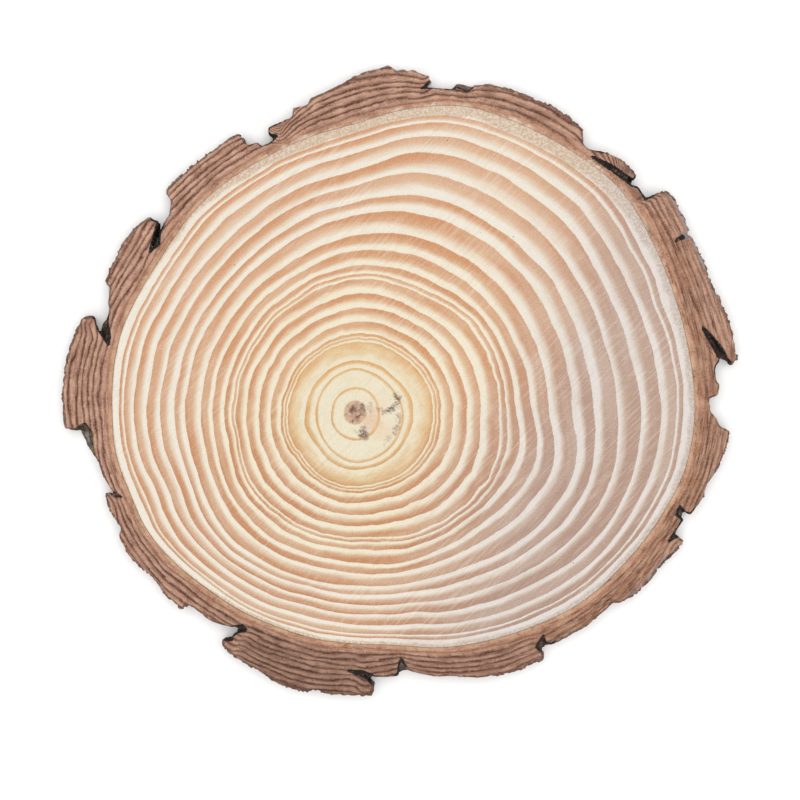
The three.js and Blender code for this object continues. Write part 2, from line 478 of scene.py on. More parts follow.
@dataclass(frozen=True)
class SawnPineEndGrain:
    """Pine end grain, sawn across and lightly sanded: cream earlywood and orange latewood.

    Sawing across shows every ring as a soft start and a sharp dark edge. The saw leaves fine
    parallel marks, and the rays show as thin pale lines out from the pith.
    """

    shapes: RingShapes
    pith: tuple[float, float]
    thick: float
    warm_early: str = "#e1d8c1"
    outer_early: str = "#dfd8ca"
    warm_late: str = "#c3885b"
    heart_early: str = "#dcd3ba"
    heart_late: str = "#ce9a55"
    pink_early: str = "#d4cdc7"
    pink_late: str = "#ac8d7d"
    pith_pale: str = "#cbaa8e"
    pith_dark: str = "#6b5245"
    half_dark_tone: str = "#fdf3dc"
    fleck: str = "#6f5444"
    saw_pale: str = "#ebe0d2"
    saw_dark: str = "#b08c74"
    ray_pale: str = "#f0e6d5"
    pore_shade: str = "#a98a6c"
    rim_tone: str = "#b8987a"
    rim_grey: str = "#b19e90"
    underside_tone: str = "#f1eeec"
    roughness: float = 0.78
    pith_radius: float = 1.9
    pith_softness: float = 0.12
    rings_a_ramp: int = 6
    # How dark a ring is where its latewood is full and just before its edge, next to the edge.
    full_grade: float = 0.72
    late_grade: float = 0.86
    relief: float = 0.05
    saw_marks_per_mm: float = 2.9
    saw_mark_angle: float = -45.0
    # The ways towards the pinkish wood, the side that grew underneath, and the upper rim.
    pink_way: tuple[float, float, float] = (0.93, -0.36, 0)
    low_way: tuple[float, float, float] = (-0.2, -0.98, 0)
    high_way: tuple[float, float, float] = (0.26, 0.97, 0)
    stains: tuple[Stain, ...] = (
        Stain(3.0, -1.7, 2.7, 0.75, "#d0a98c"), Stain(5.2, -3.6, 2.7, 0.5, "#d9b999"),
        Stain(4.3, 0.9, 2.6, 0.45, "#dcbfa4"), Stain(-0.2, 0.4, 1.1, 0.95), Stain(1.3, 0.5, 0.95, 0.95),
        Stain(1.2, -0.4, 0.9, 0.9), Stain(0.6, -1.1, 0.9, 0.9), Stain(-0.1, -1.8, 0.55, 1, "#38281f"),
        Stain(7.5, 2.5, 0.95, 0.95), Stain(6.3, 0.3, 0.85, 0.9), Stain(6.9, 0.8, 0.8, 0.9),
        Stain(7.8, 1.4, 0.7, 0.8), Stain(5.3, -0.1, 0.7, 0.6), Stain(2.7, 1.2, 0.8, 0.5, "#9a7a68"),
        Stain(3.0, 0.2, 0.8, 0.5, "#9a7a68"), Stain(1.7, -4.1, 1.2, 0.95, "#584343"),
        Stain(1.5, -3.3, 0.8, 0.7), Stain(0.5, -3.5, 0.8, 0.4, "#97836f"),
        Stain(4.4, 0.3, 0.7, 0.7, "#9c5a50"), Stain(8.0, -0.9, 0.8, 0.8, "#a08874"),
        Stain(7.9, -1.9, 0.85, 0.85, "#97806e"), Stain(7.6, -2.9, 0.85, 0.85, "#97806e"),
        Stain(7.0, -3.9, 0.8, 0.8, "#9c8673"), Stain(6.2, -5.0, 0.75, 0.6, "#a58f7b"),
        Stain(5.3, -6.2, 0.7, 0.5, "#a58f7b"),
    )

    def latewood_share(self, recipe: Recipe, ring: object) -> object:
        """Grades every ring from pale earlywood to dark latewood.

        Args:
            recipe: the material being made.
            ring: the ring that each point lies on.

        Returns:
            An output that is 0 in earlywood and 1 in the darkest latewood.
        """
        total: object = 0.0
        bands = self.shapes.latewood
        for first in range(0, len(bands), self.rings_a_ramp):
            group = bands[first : first + self.rings_a_ramp]
            low, high = group[0].start - 0.4, group[-1].edge + 0.6
            stops: list[tuple[float, float]] = []
            ended = low
            for band in group:
                soft = max(ended, band.start - 0.3 * (band.full - band.start))
                late = band.edge - 0.35 * (band.edge - band.full)
                ended = band.edge + 0.13
                grades = (
                    (soft, 0), (band.full, self.full_grade), (late, self.late_grade),
                    (band.edge, 1), (ended, 0),
                )
                stops += [((at - low) / (high - low), shade * band.depth) for at, shade in grades]
            place = add_node(
                recipe.tree, "ShaderNodeMapRange", {},
                {"Value": ring, "From Min": low, "From Max": high},
            )
            ramp = add_node(recipe.tree, "ShaderNodeValToRGB", {}, {"Fac": place})
            total = recipe.total(total, set_stops(ramp, stops).outputs["Color"])
        return total

    def make(self) -> bpy.types.Material:
        """Builds the material."""
        recipe = Recipe("pine_end_grain_sawn_and_sanded", self.roughness)
        from_pith = recipe.sum(Op.FROM, recipe.place, (*self.pith, 0))
        outward = recipe.sum(Op.DIRECTION, recipe.sum(Op.STRETCH, from_pith, (1, 1, 0)))
        slant = recipe.sum(Op.ALONG, recipe.place, self.pink_way)
        pink = recipe.span(recipe.total(slant, recipe.sway(16.0, 0.05, 2)), 5, 36)
        sheet = recipe.carried("ring")

        # The edge of a ring is ragged by the width of a few cells and wanders a little.
        polar = self.round_the_pith(recipe, outward, sheet, 0.055)
        wander = recipe.total(recipe.sway(0.9, 2.6, 2, polar), recipe.sway(0.5, 8.0, 2, polar))
        wander = recipe.product(wander, recipe.span(sheet, 3, 16))
        ring = recipe.total(sheet, recipe.sway(0.16, 2.4, 2), wander)
        # The soft start of each year's latewood lies nearer or farther by place, so that no two
        # rings are alike, and the cells in it make a fine speckle.
        own = self.round_the_pith(recipe, outward, sheet, 0.3)
        slack = recipe.span(recipe.grain(2.6, 3, place=own), 0.34, 0.68, -0.14, 0.16)
        full = recipe.sum(Op.MULTIPLY_ADD, pink, -0.36, 0.94)
        late = recipe.span(self.latewood_share(recipe, ring), slack, full)
        fade = recipe.span(recipe.grain(1.7, 3, place=own), 0.34, 0.62, 0.76, 1.06)
        speckle = recipe.span(recipe.grain(3.2, 2, rough_share=0.7), 0.3, 0.7, 0.84, 1.08)
        late = recipe.product(late, fade, speckle)

        pores = recipe.grain(5.0, 3, rough_share=0.7)
        colour = self.ring_colour(recipe, ring, late, pink, outward)
        colour = self.marked(recipe, colour, outward, pores)
        crumbs = recipe.span(recipe.grain(2.0, 5, (1, 0.45, 1), -40, rough_share=0.75), 0.46, 0.7, 0, 0.75)
        soft = recipe.mix(crumbs, self.pith_pale, self.pith_dark)
        pith_ends = (self.pith_radius - self.pith_softness, self.pith_radius + self.pith_softness)
        in_pith = recipe.span(ring, *pith_ends, 1, 0)
        colour = self.stained(recipe, recipe.mix(in_pith, colour, soft), from_pith)
        colour = self.tan_rim(recipe, colour, outward, sheet, pink)
        height = recipe.sum(Op.MULTIPLY_ADD, pores, 0.5, recipe.product(late, 0.5))
        return recipe.finish(colour, height, self.relief)

    @staticmethod
    def round_the_pith(recipe: Recipe, outward: object, sheet: object, lift: float) -> object:
        """Coordinates on which a pattern runs out from the pith and differs from ring to ring.

        Args:
            recipe: the material being made.
            outward: each point's direction from the pith.
            sheet: the ring that each point lies on.
            lift: how much the pattern changes from one millimetre of ring to the next.

        Returns:
            The node that gives the coordinates.
        """
        lifted = add_node(recipe.tree, "ShaderNodeCombineXYZ", {}, {"Z": recipe.product(sheet, lift)})
        return recipe.sum(Op.SHIFT, outward, lifted)

    def ring_colour(self, recipe: Recipe, ring: object, late: object, pink: object,
                    outward: object) -> object:
        """Colours the rings: yellower round the pith, and pinkish grey towards +X and -Y.

        Args:
            recipe: the material being made.
            ring: the ring that each point lies on.
            late: how much latewood is there.
            pink: how pinkish the wood is there.
            outward: each point's direction from the pith.

        Returns:
            The clean wood's colour.
        """
        heart = recipe.span(ring, 8.5, 16, 1, 0)
        early = recipe.mix(recipe.span(ring, 20, 34), self.warm_early, self.outer_early)
        early = recipe.mix(pink, recipe.mix(heart, early, self.heart_early), self.pink_early)
        dark = recipe.mix(pink, recipe.mix(heart, self.warm_late, self.heart_late), self.pink_late)
        # The side that grew underneath has darker latewood.
        low_side = recipe.span(recipe.sum(Op.ALONG, outward, self.low_way), -0.6, 0.9)
        dark = recipe.mix(low_side, dark, self.underside_tone, "MULTIPLY")
        # Half-dark cells are yellower than a plain mixture of pale and dark ones.
        half_dark = recipe.product(late, recipe.sum(Op.MULTIPLY_ADD, late, -1.0, 1.0))
        half_dark = recipe.product(half_dark, recipe.sum(Op.MULTIPLY_ADD, heart, 2.2, 1.6))
        return recipe.mix(half_dark, recipe.mix(late, early, dark), self.half_dark_tone, "MULTIPLY")

    def marked(self, recipe: Recipe, colour: object, outward: object, pores: object) -> object:
        """Lays the saw marks, the rays, the pores and the resin ducts over the rings.

        Args:
            recipe: the material being made.
            colour: the clean wood's colour.
            outward: each point's direction from the pith.
            pores: the noise of the cut cells.

        Returns:
            The marked wood's colour.
        """
        # Saw marks, drawn a few times coarser than real teeth marks so that they show.
        marks = recipe.grain(self.saw_marks_per_mm, 2, (1, 0.06, 1), self.saw_mark_angle)
        where = recipe.span(recipe.grain(0.07, 2), 0.4, 0.6, 0.25, 1)
        for low, high, most, tone in ((0.46, 0.7, 0.22, self.saw_pale), (0.52, 0.28, 0.13, self.saw_dark)):
            share = recipe.product(recipe.span(marks, low, high, 0, most), where)
            colour = recipe.mix(share, colour, tone)
        # Rays: fine pale lines straight out from the pith.
        rays = recipe.grain(95, 1, place=outward)
        colour = recipe.mix(recipe.span(rays, 0.58, 0.8, 0, 0.1), colour, self.ray_pale)
        colour = recipe.mix(recipe.span(pores, 0.42, 0.72, 0, 0.2), colour, self.pore_shade, "MULTIPLY")
        # Resin ducts: a scatter of tiny dark dots.
        ducts = add_node(recipe.tree, "ShaderNodeTexVoronoi", {}, {"Vector": recipe.place, "Scale": 0.16})
        dot = recipe.span(ducts.outputs["Distance"], 0.012, 0.035, 0.55, 0)
        return recipe.mix(dot, colour, self.fleck)

    def stained(self, recipe: Recipe, colour: object, from_pith: object) -> object:
        """Lays the brown flecks near the pith over the wood.

        Args:
            recipe: the material being made.
            colour: the wood's colour.
            from_pith: each point's place from the pith, in mm.

        Returns:
            The stained colour.
        """
        patch = recipe.span(recipe.grain(2.2, 4, rough_share=0.7), 0.34, 0.6, 0.35, 1)
        waver = add_node(
            recipe.tree, "ShaderNodeTexNoise", {},
            {"Vector": recipe.place, "Scale": 1.1, "Detail": 4.0, "Roughness": 0.7},
        ).outputs["Color"]
        shift = recipe.sum(Op.STRETCH_SHIFT, waver, (3.2, 3.2, 0), (-1.6, -1.6, 0))
        place = recipe.sum(Op.SHIFT, from_pith, shift)
        for stain in self.stains:
            away = recipe.sum(Op.DISTANCE, place, (stain.right, stain.up, self.thick))
            near = recipe.span(away, stain.size * 0.3, stain.size, stain.strength, 0)
            colour = recipe.mix(recipe.product(near, patch), colour, stain.tone)
        return colour

    def tan_rim(self, recipe: Recipe, colour: object, outward: object, sheet: object,
                pink: object) -> object:
        """Lays on the last, unripe cells against the bark: a speckled tan band of uneven width.

        Args:
            recipe: the material being made.
            colour: the wood's colour.
            outward: each point's direction from the pith.
            sheet: the ring that each point lies on.
            pink: how pinkish the wood is there.

        Returns:
            The colour with its rim.
        """
        upper = recipe.span(recipe.sum(Op.ALONG, outward, self.high_way), 0.6, 0.95, 0, 0.7)
        left = recipe.span(recipe.sum(Op.ALONG, outward, (-1, 0, 0)), 0.5, 0.9, 0, -0.55)
        rim = recipe.total(sheet, recipe.sway(1.2, 0.25, 3), upper, left)
        at_rim = recipe.span(rim, self.shapes.cambium - 0.95, self.shapes.cambium - 0.4, 0, 0.9)
        specks = recipe.span(recipe.grain(2.3, 3, rough_share=0.75), 0.38, 0.6, 0.35, 1)
        tan = recipe.mix(pink, self.rim_tone, self.rim_grey)
        return recipe.mix(recipe.product(at_rim, specks), colour, tan)


@dataclass(frozen=True)
class RawPineBark:
    """Scaly pine bark: a sawn face with a dark line under every scale, and a weathered outside.

    The sawn face is reddish brown and dull. The outside is grey-brown and rough, its cracks are
    painted nearly black as shade, and a thin ochre layer lies against the wood.
    """

    face_pale: str = "#d2a68e"
    face_brown: str = "#8e624c"
    layer_line: str = "#4b2517"
    inner_pale: str = "#c3987c"
    inner_bark: str = "#965f3f"
    ochre: str = "#ceaa88"
    bast_pale: str = "#e0d2c0"
    rind_lilac: str = "#9c9290"
    rind_pale: str = "#a0938a"
    rind_grey: str = "#86786f"
    rind_red: str = "#8c624b"
    rind_brown: str = "#6f5142"
    rind_dark: str = "#43322a"
    crevice_shade: str = "#16110e"
    moss: str = "#6a6440"
    plate_shade: str = "#5a4236"
    roughness: float = 0.93
    relief: float = 0.22

    def make(self) -> bpy.types.Material:
        """Builds the material."""
        recipe = Recipe("pine_bark_sawn_face_and_raw_outside", self.roughness)
        rind = recipe.carried("rind")
        face, face_height = self.sawn_face(recipe)
        outside, outer_height = self.outside(recipe)
        colour = recipe.mix(rind, face, outside)
        colour = recipe.mix(recipe.carried("shade"), colour, self.plate_shade, "MULTIPLY")
        # Painted shade: cracks and hollows in the notches are darkened nearly to black, broken by crumbs.
        ragged = recipe.total(recipe.carried("crack_shade"), recipe.sway(0.9, 1.5, 3))
        ragged = recipe.sum(Op.MULTIPLY_ADD, rind, -0.12, ragged)
        crumbs = recipe.span(recipe.grain(2.2, 3), 0.56, 0.66, 1, 0.5)
        colour = recipe.mix(recipe.product(recipe.span(ragged, 0.42, 0.58), crumbs), colour, self.crevice_shade)
        mossy = recipe.product(recipe.carried("moss"), recipe.span(recipe.grain(1.2, 3), 0.45, 0.6))
        colour = recipe.mix(mossy, colour, self.moss)
        height = recipe.total(face_height, recipe.product(outer_height, rind))
        return recipe.finish(colour, height, self.relief)

    def sawn_face(self, recipe: Recipe) -> tuple[object, object]:
        """The sawn face: a dark line between each pair of layers, and fibres between the lines.

        Args:
            recipe: the material being made.

        Returns:
            The face's colour and its relief.
        """
        rim, warm = recipe.carried("rim"), recipe.carried("warm")
        # A line runs along the ring, now nearer the next line and now farther from it, and is of
        # uneven strength.
        wave = recipe.sway(1.7, 1.0, 3, self.along_layers(recipe, 0.13, 0.45))
        wave = recipe.total(wave, recipe.sway(0.4, 0.9, 4, rough_share=0.65))
        layer = recipe.sum(Op.FRACT, recipe.total(recipe.carried("layer"), wave))
        ramp = add_node(recipe.tree, "ShaderNodeValToRGB", {}, {"Fac": layer})
        stops = (
            (0, 1), (0.1, 0.88), (0.22, 0.46), (0.4, 0.16), (0.62, 0.0), (0.8, 0.24), (0.92, 0.7), (1, 1),
        )
        line = recipe.product(
            set_stops(ramp, stops).outputs["Color"],
            recipe.span(recipe.grain(0.3, 3), 0.3, 0.6, 0.7, 1),
            recipe.sum(Op.MULTIPLY_ADD, warm, -0.45, 1),
            recipe.span(rim, 0.4, 2.0, 0.3, 1),
        )
        tone = recipe.span(recipe.grain(0.45, 5, rough_share=0.65), 0.32, 0.74, 0, 0.75)
        face = recipe.mix(tone, self.face_pale, self.face_brown)
        tanned = recipe.mix(tone, self.inner_pale, self.inner_bark)
        near_wood = recipe.total(rim, recipe.sway(2.6, 0.3, 3), recipe.product(warm, -3.2))
        face = recipe.mix(recipe.span(near_wood, 0.7, 1.7, 0.85, 0), face, tanned)
        # Between the lines run finer fibres, along the layers.
        fibre = recipe.grain(1.0, 4, place=self.along_layers(recipe, 0.24, 2.4), rough_share=0.65)
        tough = recipe.sum(Op.MULTIPLY_ADD, warm, 0.4, 0.42)
        face = recipe.mix(recipe.product(recipe.span(fibre, 0.52, 0.32), tough), face, self.layer_line)
        face = recipe.mix(recipe.product(recipe.span(fibre, 0.54, 0.72), tough), face, self.face_pale)
        face = recipe.mix(line, face, self.layer_line)
        grit = recipe.grain(3.0, 3, rough_share=0.75)
        face = recipe.mix(recipe.span(grit, 0.5, 0.75, 0, 0.5), face, self.face_pale)
        face = recipe.mix(recipe.span(grit, 0.48, 0.25, 0, 0.6), face, self.layer_line)
        # A thin ochre skin lies against the wood, broken and of uneven width.
        skin = recipe.span(recipe.total(rim, recipe.sway(1.6, 0.7, 4)), 0.2, 0.7, 0.8, 0)
        lining = recipe.mix(recipe.carried("bast"), self.ochre, self.bast_pale)
        broken = recipe.span(recipe.grain(0.35, 3), 0.4, 0.56, 0.1, 1)
        face = recipe.mix(recipe.product(skin, broken), face, lining)
        # The outermost scale shows on the sawn face as a broken brown edge, grey where it has
        # stood in the weather.
        brink = recipe.total(recipe.carried("skin"), recipe.sway(1.3, 0.8, 4))
        face = recipe.mix(recipe.span(brink, 0.85, 1.0, 0, 0.8), face, self.rind_brown)
        greyed = recipe.product(
            recipe.span(brink, 0.4, 0.6),
            recipe.carried("weathered"),
            recipe.span(recipe.grain(0.5, 4, rough_share=0.7), 0.42, 0.54, 0.1, 1),
        )
        height = recipe.sum(Op.MULTIPLY_ADD, line, -0.5, recipe.product(grit, 0.6))
        height = recipe.sum(Op.MULTIPLY_ADD, fibre, 0.5, height)
        return recipe.mix(greyed, face, self.rind_lilac), height

    def outside(self, recipe: Recipe) -> tuple[object, object]:
        """The outside: grey where a scale has weathered, and redder where one has come off.

        Args:
            recipe: the material being made.

        Returns:
            The outside's colour and its relief.
        """
        age = recipe.sum(Op.MULTIPLY_ADD, recipe.grain(0.35, 4), 0.8, -0.5)
        age = recipe.sum(Op.MULTIPLY_ADD, recipe.carried("flake"), 0.9, age)
        ramp = add_node(recipe.tree, "ShaderNodeValToRGB", {}, {"Fac": age})
        shades = (self.rind_pale, self.rind_grey, self.rind_red, self.rind_brown, self.rind_dark)
        stops = [(0.08 + 0.2 * number, linear(shade)) for number, shade in enumerate(shades)]
        colour = set_stops(ramp, stops).outputs["Color"]
        dust = recipe.grain(1.2, 5, (1, 1, 0.5), rough_share=0.65)
        colour = recipe.mix(recipe.span(dust, 0.5, 0.75, 0, 0.35), colour, self.rind_pale)
        colour = recipe.mix(recipe.span(dust, 0.45, 0.25, 0, 0.45), colour, self.rind_dark)
        # Painted shade: dark under each scale's edge, where the scale above shades the one below.
        colour = recipe.mix(recipe.product(recipe.carried("ledge_shade"), 0.8), colour, self.rind_dark)
        # Fine cracks run along the trunk, where the scales have dried and split. They are painted dark as
        # shade; only the bump gives them depth.
        fissure = recipe.sum(Op.ABSOLUTE, recipe.total(recipe.grain(0.42, 4, (1, 1, 0.22)), -0.5))
        fissure = recipe.span(fissure, 0.004, 0.022, 0.85, 0)
        height = recipe.sum(Op.MULTIPLY_ADD, fissure, -1.6, dust)
        return recipe.mix(fissure, colour, self.crevice_shade), height

    @staticmethod
    def along_layers(recipe: Recipe, along: float, across: float) -> bpy.types.Node:
        """Coordinates that follow the layers of the bark.

        Args:
            recipe: the material being made.
            along: how many grains a millimetre holds along the layers.
            across: how many it holds across them.

        Returns:
            The node that gives the coordinates.
        """
        across_layers = recipe.product(recipe.carried("rim"), across)
        links = {
            "X": recipe.product(recipe.carried("east"), along),
            "Y": recipe.sum(Op.MULTIPLY_ADD, recipe.carried("level"), 0.2, across_layers),
            "Z": recipe.product(recipe.carried("north"), along),
        }
        return add_node(recipe.tree, "ShaderNodeCombineXYZ", {}, links)


@dataclass(frozen=True)
class MattPaper:
    """White matt paper: a plain floor that gives no gloss and only a soft shade."""

    tone: str = "#fbfbfa"
    fibre_tone: str = "#f2f1ee"
    roughness: float = 0.95
    relief: float = 0.01

    def make(self) -> bpy.types.Material:
        """Builds the material."""
        recipe = Recipe("matt_white_paper", self.roughness)
        fibre = recipe.grain(0.6, 3)
        colour = recipe.mix(recipe.span(fibre, 0.3, 0.7, 0, 0.02), self.tone, self.fibre_tone)
        return recipe.finish(colour, fibre, self.relief)


# --- The pieces. ---


@dataclass
class Slice:
    """What the two pieces share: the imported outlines, read round the pith."""

    # The pith, as shares of the wood's box from its lowest corner.
    pith_share: tuple[float, float] = (0.4161, 0.4355)
    spokes: int = 720

    def __post_init__(self) -> None:
        """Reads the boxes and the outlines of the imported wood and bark."""
        low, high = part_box("wood")
        self.pith = tuple((low[i] + (high[i] - low[i]) * self.pith_share[i]) / MM for i in (0, 1))
        self.thick = (high[2] - low[2]) / MM
        self.angles = np.arange(self.spokes) * TURN / self.spokes
        self.cambium = self.outline("wood")
        self.bark_edge = self.corners("bark")

    def polar(self, points: np.ndarray) -> tuple[np.ndarray, np.ndarray]:
        """Angles in degrees and radii in mm, from the pith.

        Args:
            points: rows of millimetres.

        Returns:
            The angles, from 0 to 360, and the radii.
        """
        right, up = points[:, 0] - self.pith[0], points[:, 1] - self.pith[1]
        return np.degrees(np.arctan2(up, right)) % TURN, np.hypot(right, up)

    def corners(self, node: str) -> np.ndarray:
        """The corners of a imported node's top face, without repeats.

        Args:
            node: the node's name.

        Returns:
            The corners as rows of millimetres.
        """
        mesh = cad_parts[node].data
        points = np.array([v.co for v in mesh.vertices]) / MM
        top = points[points[:, 2] > self.thick - 0.01]
        return np.unique(np.round(top, 4), axis=0)

    def outline(self, node: str) -> np.ndarray:
        """The outside of a round node.

        Args:
            node: the node's name.

        Returns:
            Its radius at every spoke, in mm.
        """
        angle, radius = self.polar(self.corners(node))
        order = np.argsort(angle)
        return np.interp(self.angles, angle[order], radius[order], period=TURN)

    def rim(self, degrees: np.ndarray) -> np.ndarray:
        """The cambium's radius at each angle, in mm."""
        return np.interp(degrees, self.angles, self.cambium, period=TURN)


@dataclass
class WoodDisc:
    """The sawn disc of growth rings: one closed skin, rolled round the pith."""

    slice: Slice
    shapes: RingShapes
    sectors: int = 288
    wall_rows: int = 8
    latewood_proud: float = 0.05
    pith_sunk: float = 0.25
    pith_edge: tuple[float, float] = (2.1, 1.7)
    edge_round: float = 0.12
    # How far past its dark edge a ring's latewood ends, and how near the cambium rows are added.
    ring_end: float = 0.14
    outer_rows: tuple[float, float] = (42.4, 42.8)
    row_step: float = 0.35
    # Where the faces and the side lie on the piece's own map, and how big they are on it.
    map_radius: float = 0.285
    map_middles: tuple[tuple[float, float], tuple[float, float]] = ((0.295, 0.705), (0.705, 0.295))
    map_strips: int = 4
    map_strip: tuple[float, float] = (0.32, 0.045)
    strip_step: float = 1.3
    map_edge: float = 0.02
    smooth_angle: float = 40.0

    def ring_rows(self) -> np.ndarray:
        """The rings that get a row of corners, from the pith outwards."""
        rows = list(np.arange(self.row_step, self.shapes.latewood[0].start, self.row_step))
        for band in self.shapes.latewood:
            middle = (band.full + band.edge) / 2
            rows += [band.start, band.full, middle, band.edge, band.edge + self.ring_end]
        rows += [*self.outer_rows, self.shapes.cambium - self.edge_round, self.shapes.cambium]
        rows = sorted(rows)
        wide = [(a + b) / 2 for a, b in zip(rows, rows[1:]) if b - a > 2 * self.row_step]
        return np.array(sorted([0.0, *rows, *wide]))

    def grade(self, ring: np.ndarray) -> np.ndarray:
        """How much latewood each ring row holds, for the relief.

        Args:
            ring: the rows' rings.

        Returns:
            A share from 0 to 1 for each row.
        """
        places, shares = [0.0], [0.0]
        for band in self.shapes.latewood:
            places += [band.start, band.full, band.edge, band.edge + self.ring_end]
            shares += [0, 0.8 * band.depth, band.depth, 0]
        return np.interp(ring, places, shares)

    def build(self) -> bpy.types.Object:
        """Rolls a flat sheet round the pith into the closed disc.

        Returns:
            The finished piece, with its ring attribute and its own map.
        """
        rings = self.ring_rows()
        walls = np.linspace(0, 1, self.wall_rows + 2)[1:-1]
        rows = 2 * len(rings) + len(walls)
        bpy.ops.object.select_all(action="DESELECT")
        bpy.ops.mesh.primitive_grid_add(x_subdivisions=self.sectors, y_subdivisions=rows - 1, size=2)
        piece = bpy.context.object
        piece.name = "wood_disc"
        mesh = piece.data
        sheet = per_corner(mesh, mesh.vertices, "co")
        sector = np.rint((sheet[:, 0] + 1) / 2 * self.sectors).astype(int)
        row = np.rint((sheet[:, 1] + 1) / 2 * (rows - 1)).astype(int)

        # Rows run from the pith across the top, down the side, and back under to the pith.
        count, rim_ring = len(rings), self.shapes.cambium
        ring_of = np.concatenate([rings, np.full(len(walls), rim_ring), rings[::-1]])
        level_of = np.concatenate([np.ones(count), 1 - walls, np.zeros(count)])
        ring, level = ring_of[row], level_of[row]
        degrees = (sector % self.sectors) * TURN / self.sectors
        rim = self.slice.rim(degrees)
        radius = self.shapes.radius(ring, degrees, rim)
        turn = np.radians(degrees)
        right, up = self.slice.pith[0] + radius * np.cos(turn), self.slice.pith[1] + radius * np.sin(turn)
        points = np.stack([right, up, level * self.slice.thick], 1)
        flat = (level == 0) | (level == 1)
        sunk = (1 - self.grade(ring)) * self.latewood_proud
        crumbs = rough(points * (1, 1, 0), (1.6, 1.6, 1), 3.0)
        sunk += smooth(*self.pith_edge, ring) * self.pith_sunk * (0.8 + 0.8 * crumbs)
        sunk += smooth(rim_ring - self.edge_round, rim_ring, ring) * self.edge_round
        points[:, 2] += np.where(flat, np.where(level == 1, -sunk, sunk), 0)
        mesh.vertices.foreach_set("co", (points * MM).ravel())

        mesh.attributes.new("ring", "FLOAT", "POINT").data.foreach_set("value", ring)
        self.lay_map(mesh, points, sector, row, rows)
        bpy.ops.object.mode_set(mode="EDIT")
        bpy.ops.mesh.select_all(action="SELECT")
        bpy.ops.mesh.remove_doubles(threshold=1e-7)
        bpy.ops.mesh.normals_make_consistent(inside=False)
        bpy.ops.object.mode_set(mode="OBJECT")
        bpy.ops.object.shade_smooth_by_angle(angle=math.radians(self.smooth_angle))
        return piece

    def lay_map(self, mesh: bpy.types.Mesh, points: np.ndarray, sector: np.ndarray,
                row: np.ndarray, rows: int) -> None:
        """Lays both faces flat on the piece's own map, and the side in strips.

        Args:
            mesh: the sheet, before its seam is closed.
            points: the corners' places in mm.
            sector: each corner's sector.
            row: each corner's row.
            rows: how many rows there are in all.
        """
        count = (rows - self.wall_rows) // 2
        corner = np.zeros(len(mesh.loops), int)
        mesh.loops.foreach_get("vertex_index", corner)
        quads = corner.reshape(-1, 4)
        first_row = row[quads].min(1).repeat(4)
        first_sector = sector[quads].min(1).repeat(4)
        low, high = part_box("wood")
        half = max(high[0] - low[0], high[1] - low[1]) / 2 / MM
        middle = ((low[0] + high[0]) / 2 / MM, (low[1] + high[1]) / 2 / MM)
        place = (points[corner, :2] - middle) / half * self.map_radius
        top = place + self.map_middles[0]
        under = place * (1, -1) + self.map_middles[1]
        a_strip = self.sectors // self.map_strips
        strip = first_sector // a_strip
        along = (sector[corner] - strip * a_strip) / a_strip
        across = (row[corner] - (count - 1)) / (rows - 2 * count + 1)
        side = np.stack([along, strip * self.strip_step + across], 1) * self.map_strip + self.map_edge
        is_top, is_under = first_row < count - 1, first_row >= rows - count
        spread = np.where(is_top[:, None], top, np.where(is_under[:, None], under, side))
        mesh.uv_layers.new(name="OFBake").data.foreach_set("uv", spread.ravel())
        for layer in list(mesh.uv_layers):
            if layer.name != "OFBake":
                mesh.uv_layers.remove(layer)

    def dress(self, piece: bpy.types.Object) -> None:
        """Gives the disc its end grain and its place in the frame.

        Args:
            piece: the built disc.
        """
        piece.data.materials.clear()
        piece.data.materials.append(SawnPineEndGrain(self.shapes, self.slice.pith, self.slice.thick).make())
        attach(piece, "root")
        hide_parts("wood")
        log.info("%s: %d faces", piece.name, len(piece.data.polygons))


